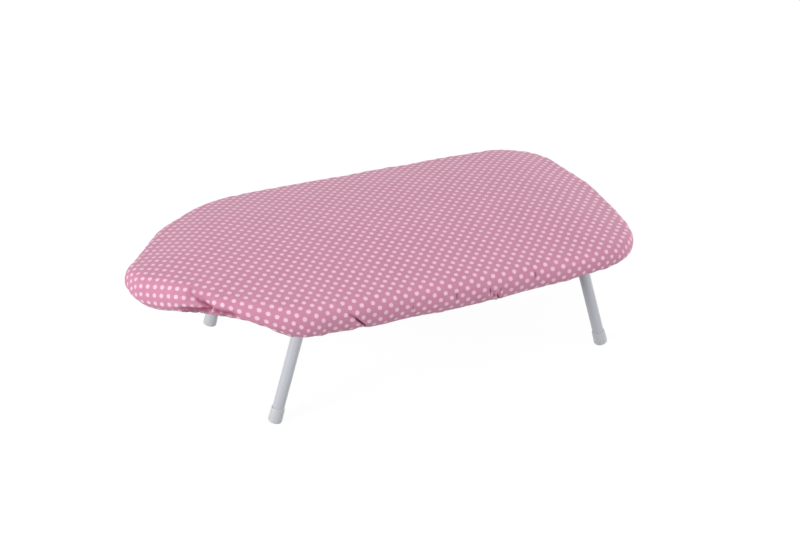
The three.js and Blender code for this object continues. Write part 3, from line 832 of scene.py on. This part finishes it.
def fold_field(plan, up, fold):
    """How far one fold moves the cloth out and along, and how much painted shade darkens its groove."""
    run = np.subtract(fold.end, fold.start)
    length = math.hypot(*run)
    along_way, up_way = run / length
    ahead = plan.from_nose - fold.start[0]
    above = up - fold.start[1]
    travel = ahead * along_way + above * up_way
    fade = smoothstep(travel, -FOLD_LEAD, 0) * (1 - smoothstep(travel, length / 2, length))
    width = fold.width * (FOLD_TIP + (1 - FOLD_TIP) * fade)
    across = (ahead * up_way - above * along_way) / width
    groove = hump(across, 0, 1)
    lips = hump(across, *NEAR_LIP) + FAR_LIP_HEIGHT * hump(across, *FAR_LIP)
    out = fade * (fold.rise * lips - fold.depth * groove)
    slide = fold.lap * fade * hump(across, *LAPPED_SIDE)
    return out, slide, fold.painted_shade * fade * groove


def turn_rate(along):
    """How tightly the rim turns outward at a station, from 0 on the straight to 1."""
    folded = along if along <= HALF_RIM else 2 * HALF_RIM - along
    ends = np.interp([folded - TURN_SPAN, folded + TURN_SPAN], rim_along, rim_headings)
    return float(np.clip((ends[0] - ends[1]) / (2 * TURN_SPAN) / GATHER_TURN, 0, 1))


def gather_field(plan, up):
    """Seeded gathers all round the hem, crowded where the rim turns."""
    out = np.zeros_like(up)
    along = 0.0
    while along < 2 * HALF_RIM:
        turn = turn_rate(along)
        pitch, depth, top = (
            straight + (turned - straight) * turn
            for straight, turned in (GATHER_PITCH, GATHER_DEPTH, GATHER_TOP)
        )
        depth *= random.uniform(*DEPTH_SPREAD)
        depth *= 1 - bell(2 * HALF_RIM - along, *SMOOTH_HEM)
        top *= random.uniform(*SIZE_SPREAD)
        lean = random.normal(0, GATHER_LEAN)
        near = np.abs(plan.along - along) < 2 * pitch
        across = (plan.along[near] - along - lean * up[:, near]) / pitch
        fade = 1 - smoothstep(up[:, near], GATHER_FULL * top, top)
        groove = hump(across, 0, GATHER_GROOVE)
        ridge = hump(np.abs(across), *GATHER_RIDGE)
        out[:, near] += depth * fade * (GATHER_RIDGE_HEIGHT * ridge - groove)
        along += pitch * random.uniform(*SIZE_SPREAD)
    return out


def side_fade(up, end):
    """1 on the cloth's side, and 0 at the hem and past the end of the side."""
    return smoothstep(up, *SWELL_START) * (1 - smoothstep(up, *end))


def wave_field(plan, up):
    """Slow swells round the side, where the pad is lapped by hand."""
    angle = plan.along / HALF_RIM * math.pi
    swell = sum(np.sin(count * angle + random.uniform(0, 2 * math.pi)) for count in WAVE_COUNTS)
    return WAVE_HEIGHT * swell * side_fade(up, WAVE_END)


def ripple_field(plan, up):
    """Small slack ripples in the cloth over the side, running any way."""
    out = np.zeros_like(up)
    for _ in range(RIPPLE_COUNT):
        length = random.uniform(*RIPPLE_LENGTH)
        way = random.uniform(0, math.pi)
        phase = random.uniform(0, 2 * math.pi)
        place = plan.along * math.cos(way) + up * math.sin(way)
        out += np.sin(2 * math.pi * place / length + phase)
    return RIPPLE_HEIGHT * side_fade(up, RIPPLE_END) * out


def ways(rows):
    """At each point, the way round the board and the way out of the surface."""
    round_way = unit(np.roll(rows, -1, axis=1) - np.roll(rows, 1, axis=1))
    return round_way, unit(np.cross(round_way, np.gradient(rows, axis=0)))


def crease(plan, rows, up):
    """The cloth's rows with their folds, gathers and swells, and how much painted crease shade each point
    gets.
    """
    round_way, normal = ways(rows)
    out = gather_field(plan, up) + wave_field(plan, up) + ripple_field(plan, up)
    lowest, highest, slide, groove = np.zeros((4, *out.shape))
    for fold in FOLDS:
        fold_out, fold_slide, fold_shade = fold_field(plan, up, fold)
        lowest = np.minimum(lowest, fold_out)
        highest = np.maximum(highest, fold_out)
        slide += fold_slide
        groove = np.maximum(groove, fold_shade)
    out += lowest + highest
    return rows + normal * out[:, :, None] - round_way * slide[:, :, None], groove


def clear_of_rim(plan, rows):
    """The cloth's rows, with what runs in under the deck's rim held below it."""
    inset = -((rows[:, :, :2] - plan.at) * plan.normal).sum(2)
    inset[:CROWN_ROWS + EDGE_ROWS // 2] = -1
    held = np.minimum(rows[:, :, 2], plan.rim_bottom - RIM_GAP)
    cleared = rows.copy()
    cleared[:, :, 2] = np.where(inset > -RIM_GAP, held, rows[:, :, 2])
    return cleared


def make_cover():
    plan = Plan(column_stations())
    smooth_rows = cloth_rows(plan)
    rows, groove = crease(plan, smooth_rows, up_from_hem(smooth_rows))
    rows = clear_of_rim(plan, rows)
    # groove carries the painted crease shade onto the cloth
    mesh = skin("cover_cloth", rows, sheet=sheet_places(plan, smooth_rows), groove=groove)
    made = add_piece("cover_cloth", mesh, COTTON, "printed_cotton", "board", "cover")
    add_solidify(made, CLOTH)
    return made, rows


def hem_frames(rows):
    """At each column of the hem: its point, the direction in along the cloth, and the side that shows."""
    edge = rows[-1]
    inward = unit(edge - rows[-3])
    along = np.roll(edge, -1, axis=0) - np.roll(edge, 1, axis=0)
    shown = unit(np.cross(along, inward))
    return edge - shown * CLOTH / 2, inward, shown


def hem_ring(frames, inward, shown):
    """The hem's line, moved in along the cloth and out to the side that shows."""
    at, inward_way, shown_way = frames
    return at + inward_way * inward + shown_way * shown


def pocket_rings(frames, radius, turns):
    middle = TAPE_GAP + POCKET_RADIUS
    return [hem_ring(frames, middle + radius * math.cos(t), radius * math.sin(t)) for t in turns]


def make_hem(rows):
    frames = hem_frames(rows)
    lap = CLOTH / 2 + TAPE_GAP
    round_pocket = np.linspace(POCKET_TURN, -POCKET_TURN, POCKET_STEPS)
    tape_rings = [
        hem_ring(frames, -TAPE_LAP, lap),
        *pocket_rings(frames, POCKET_RADIUS, round_pocket),
        hem_ring(frames, -TAPE_LAP, -lap),
        hem_ring(frames, -TAPE_LAP, -lap - TAPE),
        *pocket_rings(frames, POCKET_RADIUS + TAPE, round_pocket[::-1]),
        hem_ring(frames, -TAPE_LAP, lap + TAPE),
    ]
    tape_mesh = skin("hem_tape", tape_rings, closed=True)
    tape = add_piece(
        "hem_tape", tape_mesh, BINDING, "binding_tape", "board", "hem_binding", sharp=SHARP_SHEET)
    stitches = make_stitches(frames, lap + TAPE)
    round_elastic = np.linspace(-ELASTIC_TURN, ELASTIC_TURN, ELASTIC_SIDES)
    braid = skin("hem_braid", pocket_rings(frames, ELASTIC_RADIUS, round_elastic), closed=True)
    add_piece("hem_braid", braid, BRAID, "elastic", "board", "hem_elastic")
    return tape, stitches


def even_frames(frames, pitch):
    """The hem's frames again, at even steps along it."""
    at = frames[0]
    steps = np.linalg.norm(np.roll(at, -1, axis=0) - at, axis=1)
    along = np.concatenate([[0], np.cumsum(steps)])
    count = round(along[-1] / pitch)
    wanted = np.arange(count) * along[-1] / count
    closed = [np.vstack([part, part[:1]]) for part in frames]
    return [
        np.stack([np.interp(wanted, along, part[:, axis]) for axis in range(3)], 1)
        for part in closed
    ]


def make_stitches(frames, surface):
    """The row of stitches that holds the tape: short strands that arch out of it."""
    at, inward, shown = even_frames(frames, STITCH_PITCH)
    along = unit(np.roll(at, -1, axis=0) - np.roll(at, 1, axis=0))
    rings = []
    for share in np.linspace(-1, 1, STITCH_ROWS):
        arch = surface + THREAD_RADIUS * (1 - 2 * share ** 2)
        middle = at - inward * STITCH_INSET + along * share * STITCH_LENGTH / 2 + shown * arch
        rings.append([
            middle + THREAD_RADIUS * (inward * math.cos(turn) + shown * math.sin(turn))
            for turn in full_turn(STITCH_SIDES)
        ])
    points = np.array(rings).transpose(2, 0, 1, 3)
    strand = grid_faces(STITCH_ROWS, STITCH_SIDES)
    last = (STITCH_ROWS - 1) * STITCH_SIDES
    strand += [list(range(STITCH_SIDES))[::-1], list(range(last, last + STITCH_SIDES))]
    faces = [
        [corner + number * STITCH_ROWS * STITCH_SIDES for corner in face]
        for number in range(len(at)) for face in strand
    ]
    mesh = bpy.data.meshes.new("hem_stitches")
    mesh.from_pydata(points.reshape(-1, 3).tolist(), [], faces)
    return add_piece("hem_stitches", mesh, THREAD, "binding_tape", "board", sharp=SHARP_THREAD)


def pad_rows(plan):
    """The pad's top and lap, a little inside the cloth, with hollows where the cloth is folded in."""
    count = CROWN_ROWS + PAD_LAP_ROWS
    rows = np.array(shell_rows(plan, CLOTH + PAD_GAP)[:count])
    up = up_from_hem(cloth_rows(plan))[:count]
    hollow = np.zeros_like(up)
    for fold in FOLDS:
        wide = fold._replace(
            width=PAD_HOLLOW * fold.width, depth=PAD_DENT * fold.depth, rise=0.0)
        hollow = np.minimum(hollow, fold_field(plan, up, wide)[0])
    return rows + ways(rows)[1] * hollow[:, :, None]


def make_pad():
    plan = Plan(column_stations()[::2])
    outside = pad_rows(plan)
    diagonal = RIM_BEND * (1 - math.sqrt(0.5)) - CLEARANCE * math.sqrt(0.5)
    rings = [
        *outside,
        plan.ring(-CLEARANCE, outside[-1][:, 2]),
        plan.ring(-CLEARANCE, DECK_HEIGHT - RIM_BEND),
        plan.ring(diagonal, DECK_HEIGHT - diagonal),
        plan.ring(RIM_BEND, DECK_HEIGHT + CLEARANCE),
        plan.ring(RIM_BEND, DECK_HEIGHT + CLEARANCE, to_spine=1.0),
    ]
    mesh = skin("felt_pad", rings)
    made = add_piece("felt_pad", mesh, FELT, "pad_foam", "board", "pad", sharp=SHARP_ROUND)
    return made


# Deck

def half_width_at(x, inset):
    normals = np.stack([-np.sin(rim_headings), np.cos(rim_headings)], 1)
    points = rim_points - normals * inset
    order = np.argsort(points[:, 0])
    return np.interp(x, points[order, 0], points[order, 1], left=0, right=0)


def clear_of(boxes, x, y, reach):
    """Whether a place is further than a reach outside every box, seen from above."""
    return not any(
        low.x - reach < x < high.x + reach and low.y - reach < y < high.y + reach
        for low, high in boxes
    )


def vent_centres():
    """Staggered rows of vents, clear of the rim and of what is fixed under the deck."""
    fixed = [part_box(name) for name in frame["nodes"] if name.endswith("_brace") or "_clip_" in name]
    rows = math.floor(HALF_WIDTH / VENT_ROW_PITCH)
    columns = math.ceil((TAIL_X - NOSE_X) / 2 / VENT_PITCH)
    centres = []
    for row in range(-rows, rows + 1):
        stagger = VENT_PITCH / 2 if row % 2 else 0
        for column in range(-columns, columns + 1):
            x, y = column * VENT_PITCH + stagger, row * VENT_ROW_PITCH
            inside = abs(y) < half_width_at(x, VENT_MARGIN + VENT_DIAMETER / 2)
            if inside and clear_of(fixed, x, y, VENT_DIAMETER / 2 + VENT_LAND):
                centres.append((x, y))
    return centres


def add_loop(shape, points):
    corners = [shape.verts.new(point) for point in points]
    return [shape.edges.new((a, b)) for a, b in zip(corners, corners[1:] + corners[:1])]


def flare(shape, loop):
    """Turns the edge of one vent down into a short rounded lip."""
    centre = sum((edge.verts[0].co for edge in loop), Vector()) / len(loop)
    for turn in VENT_LIP_TURNS:
        made = bmesh.ops.extrude_edge_only(shape, edges=loop)["geom"]
        loop = [item for item in made if isinstance(item, bmesh.types.BMEdge)]
        corners = {corner for edge in loop for corner in edge.verts}
        radius = VENT_DIAMETER / 2 + VENT_LIP / 2 * (1 - math.sin(turn))
        drop = VENT_LIP * (1 - math.cos(turn))
        for corner in corners:
            way = (corner.co - centre).xy.normalized()
            corner.co = Vector((centre.x + way.x * radius, centre.y + way.y * radius, DECK_HEIGHT - drop))


def deck_plate(plan):
    """The flat top inside the rim's bend, with its vents."""
    shape = bmesh.new()
    outline = add_loop(shape, plan.ring(RIM_BEND, DECK_HEIGHT).tolist())
    radius = VENT_DIAMETER / 2 + VENT_LIP / 2
    vents = [
        add_loop(shape, [
            (x + radius * math.cos(t), y + radius * math.sin(t), DECK_HEIGHT)
            for t in full_turn(VENT_SIDES)
        ])
        for x, y in vent_centres()
    ]
    edges = outline + [edge for vent in vents for edge in vent]
    bmesh.ops.triangle_fill(shape, use_beauty=True, edges=edges, normal=(0, 0, 1))
    for vent in vents:
        flare(shape, vent)
    plate = bpy.data.meshes.new("deck_plate")
    shape.to_mesh(plate)
    shape.free()
    return plate


def deck_rim(plan):
    """The rim: the bend down from the top, the tapering wall and the lip turned in."""
    bend = [
        (RIM_BEND * (1 - math.sin(t)), DECK_HEIGHT - RIM_BEND * (1 - math.cos(t)))
        for t in quarter_turn(RIM_BEND_ROWS)
    ]
    return skin("deck_rim", [
        *[plan.ring(inset, height) for inset, height in bend],
        plan.ring(0, plan.rim_bottom + DECK_SHEET),
        plan.ring(DECK_SHEET, plan.rim_bottom),
        plan.ring(RIM_LIP, plan.rim_bottom),
    ])


def make_deck():
    count = 2 * math.ceil(HALF_RIM / DECK_COLUMN)
    plan = Plan(np.arange(count) * 2 * HALF_RIM / count)
    plate = deck_plate(plan)
    joined = bmesh.new()
    joined.from_mesh(plate)
    joined.from_mesh(deck_rim(plan))
    bmesh.ops.remove_doubles(joined, verts=joined.verts, dist=WELD)
    joined.to_mesh(plate)
    joined.free()
    made = add_piece(
        "vented_deck", plate, COAT, "white_coated_steel", "board", "deck", sharp=SHARP_SHEET)
    add_solidify(made, DECK_SHEET, even=True)
    # Keeps the plate's shading flat between the vents
    flat = made.modifiers.new("flat_plate", "WEIGHTED_NORMAL")
    flat.keep_sharp = True


# Leg frames and feet

def leg_geometry(station):
    """The matrix of a leg frame, half its width between the tubes, and the length of a leg."""
    outward = -1 if station == "front" else 1
    joint = next(joint for joint in frame["joints"] if joint["child"] == f"{station}_legs")
    pivot = Vector(joint["pos_m"])
    leg_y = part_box(f"{station}_leg_frame")[1].y - TUBE_RADIUS
    sole = TUBE_RADIUS + CLEARANCE + CAP_WALL - CAP_ROUND
    length = (pivot.z + SOLE_CUT - sole * math.sin(SPLAY)) / math.cos(SPLAY)
    matrix = Matrix.Translation(pivot) @ Matrix.Rotation(-outward * SPLAY, 4, "Y")
    return matrix, leg_y, length


def leg_path(leg_y, end):
    """The tube's middle line, its headings in the plane of the frame, and where it is bent."""
    half = [(leg_y, -end, 0.0, 0.0), (leg_y, -(BEND_RADIUS + end) / 2, 0.0, 0.0)]
    for turn in quarter_turn(BEND_STEPS + 1):
        y = leg_y - BEND_RADIUS * (1 - math.cos(turn))
        z = -BEND_RADIUS * (1 - math.sin(turn))
        half.append((y, z, turn, math.sin(2 * turn)))
    other = [(-y, z, math.pi - turn, bent) for y, z, turn, bent in reversed(half)]
    return half + other


def tube_rings(path, radius):
    turns = full_turn(TUBE_SIDES)
    rings = []
    for y, z, heading, bent in path:
        across = radius * np.cos(turns) * (1 - BEND_FLATTEN * bent)
        beside = radius * np.sin(turns) * (1 + BEND_FLATTEN * bent)
        in_plane = [y + across * math.cos(heading), z + across * math.sin(heading)]
        rings.append(np.stack([beside, *in_plane], 1))
    return rings


def make_leg_frame(station):
    matrix, leg_y, length = leg_geometry(station)
    path = leg_path(leg_y, length - CAP_BASE - CLEARANCE)
    outer = tube_rings(path, TUBE_RADIUS)
    inner = tube_rings(path, TUBE_RADIUS - TUBE_WALL)
    name = f"{station}_tube"
    mesh = skin(name, outer + inner[::-1], closed=True)
    mesh.transform(matrix)
    add_piece(
        name, mesh, COAT, "white_coated_tube", f"{station}_legs", f"{station}_leg_frame",
        sharp=SHARP_SHEET)


def cap_profile():
    """A foot cap's half section, from the sole up and back down its bore."""
    bore = TUBE_RADIUS + CLEARANCE
    outer = bore + CAP_WALL
    neck = outer - CAP_TAPER
    shoulder = CAP_LENGTH - CAP_SLOPE
    grip = TUBE_RADIUS + CAP_GRIP
    heel = (outer - CAP_ROUND, CAP_ROUND)
    slope = [
        (grip + (neck - grip) * math.cos(t), shoulder + CAP_SLOPE * math.sin(t))
        for t in quarter_turn(CAP_SLOPE_ROWS)
    ]
    return [
        (0, 0),
        (outer - CAP_ROUND, 0),
        *arc(heel, CAP_ROUND, -math.pi / 2, 0, CAP_ROUND_STEPS)[1:],
        *slope,
        (bore, shoulder),
        (bore, CAP_BASE),
        (0, CAP_BASE),
    ]


def make_foot(station, side, sign):
    """A foot cap on its leg, with its sole cut level on the floor."""
    matrix, leg_y, length = leg_geometry(station)
    name = f"{station}_cap_{side}"
    mesh = lathe(name, cap_profile(), CAP_SIDES)
    mesh.transform(matrix @ Matrix.Translation((0, sign * leg_y, -length)))
    shape = bmesh.new()
    shape.from_mesh(mesh)
    everything = list(shape.verts) + list(shape.edges) + list(shape.faces)
    cut = bmesh.ops.bisect_plane(
        shape, geom=everything, plane_co=(0, 0, 0), plane_no=(0, 0, -1), clear_outer=True)
    rim = [item for item in cut["geom_cut"] if isinstance(item, bmesh.types.BMEdge)]
    bmesh.ops.edgeloop_fill(shape, edges=rim)
    bmesh.ops.recalc_face_normals(shape, faces=shape.faces)
    shape.to_mesh(mesh)
    shape.free()
    add_piece(
        name, mesh, PLASTIC, "foot_plastic", f"{station}_legs", f"{station}_foot_{side}",
        sharp=SHARP_CUT)


# Rivets and folded steel

def make_rivet(node):
    low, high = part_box(node)
    head = (high.x - low.x) / 2
    top = high.z - low.z
    tail = top - RIVET_TAIL_HEIGHT
    tail_round = (RIVET_TAIL_RADIUS - RIVET_TAIL_ROUND, top - RIVET_TAIL_ROUND)
    dome = [
        (head * math.sin(t), RIVET_HEAD_HEIGHT * (1 - math.cos(t)))
        for t in quarter_turn(RIVET_HEAD_ROWS)
    ]
    profile = [
        *dome,
        (RIVET_SHANK, RIVET_HEAD_HEIGHT),
        (RIVET_SHANK, tail),
        (RIVET_TAIL_RADIUS, tail),
        *arc(tail_round, RIVET_TAIL_ROUND, 0, math.pi / 2, RIVET_TAIL_STEPS),
        (0, top),
    ]
    name = f"{node}_pin"
    mesh = lathe(name, profile, RIVET_SIDES)
    mesh.transform(Matrix.Translation(((low.x + high.x) / 2, (low.y + high.y) / 2, low.z)))
    add_piece(name, mesh, PLATED, "zinc_steel", "board", node, sharp=SHARP_ROUND)


def finish_steel(node, finish):
    made = frame["nodes"][node]
    made.data.materials.clear()
    made.data.materials.append(finish)
    edges = made.modifiers.new("edges", "BEVEL")
    edges.width = STEEL_EDGE
    edges.segments = STEEL_EDGE_STEPS
    edges.limit_method = "ANGLE"
    edges.angle_limit = SHARP_CUT


# Stage

def seen_directly(nodes):
    """1 for rays from the camera, and for reflected and transmitted ones, else 0."""
    path = nodes.node("ShaderNodeLightPath")
    seen = path.outputs["Is Camera Ray"]
    for kind in ("Is Glossy Ray", "Is Transmission Ray"):
        seen = nodes.math("MAXIMUM", seen, path.outputs[kind])
    return seen


def pale_floor():
    """A floor that takes soft shadows, and glows where it is seen so that it shows as white."""
    material = bpy.data.materials.new("pale_floor")
    material.use_nodes = True
    material.node_tree.nodes.clear()
    nodes = Nodes(material.node_tree)
    lit = nodes.node("ShaderNodeBsdfDiffuse", Color=FLOOR_GREY)
    glow = nodes.node("ShaderNodeEmission", Strength=FLOOR_GLOW)
    share = nodes.math("MULTIPLY", seen_directly(nodes), FLOOR_GLOW_SHARE)
    blend = nodes.node("ShaderNodeMixShader", _0=share, _1=lit.outputs[0], _2=glow.outputs[0])
    nodes.node("ShaderNodeOutputMaterial", Surface=blend.outputs[0])
    return material


def make_floor():
    mesh = bpy.data.meshes.new("floor")
    signs = ((-1, -1), (1, -1), (1, 1), (-1, 1))
    mesh.from_pydata([(x * FLOOR_REACH, y * FLOOR_REACH, 0) for x, y in signs], [], [(0, 1, 2, 3)])
    mesh.materials.append(pale_floor())
    link("floor", mesh)


def make_world():
    world = bpy.data.worlds.new("studio")
    bpy.context.scene.world = world
    world.use_nodes = True
    nodes = Nodes(world.node_tree)
    strength = nodes.spread(seen_directly(nodes), low=SKY_STRENGTH, high=SKY_STRENGTH_SEEN)
    nodes.feed(nodes.tree.nodes["Background"], Color=SKY_WHITE, Strength=strength)


def aim(made, place, way):
    """Puts a lamp or a camera at a place, facing one way."""
    made.location = place
    made.rotation_mode = "QUATERNION"
    made.rotation_quaternion = way.to_track_quat("-Z", "Y")


def make_lamp(name, place, width, power):
    data = bpy.data.lights.new(name, "AREA")
    data.shape = "DISK"
    data.size = width
    data.energy = power
    aim(link(name, data), place, CAMERA_TARGET - Vector(place))


def make_camera():
    data = bpy.data.cameras.new("camera")
    data.lens = CAMERA_LENS
    data.sensor_width = CAMERA_SENSOR
    data.shift_x, data.shift_y = CAMERA_SHIFT
    camera = link("camera", data)
    level = math.cos(CAMERA_ELEVATION)
    back = Vector((
        -math.sin(CAMERA_AZIMUTH) * level,
        -math.cos(CAMERA_AZIMUTH) * level,
        math.sin(CAMERA_ELEVATION),
    ))
    aim(camera, CAMERA_TARGET + back * CAMERA_DISTANCE, -back)
    bpy.context.scene.camera = camera


# The board

cover, cover_rows = make_cover()
hem_tape, hem_stitches = make_hem(cover_rows)
felt_pad = make_pad()
make_deck()
for station in ("front", "rear"):
    make_leg_frame(station)
    for side, sign in (("left", 1), ("right", -1)):
        make_foot(station, side, sign)
    finish_steel(f"{station}_brace", COAT)
for node in frame["nodes"]:
    if "_rivet_" in node:
        make_rivet(node)
    elif "_strap_" in node or "_clip_" in node:
        finish_steel(node, PLATED)

# The studio

make_camera()
make_floor()
make_world()
for name, lamp in LAMPS.items():
    make_lamp(name, *lamp)
bpy.context.scene.view_settings.view_transform = "Standard"
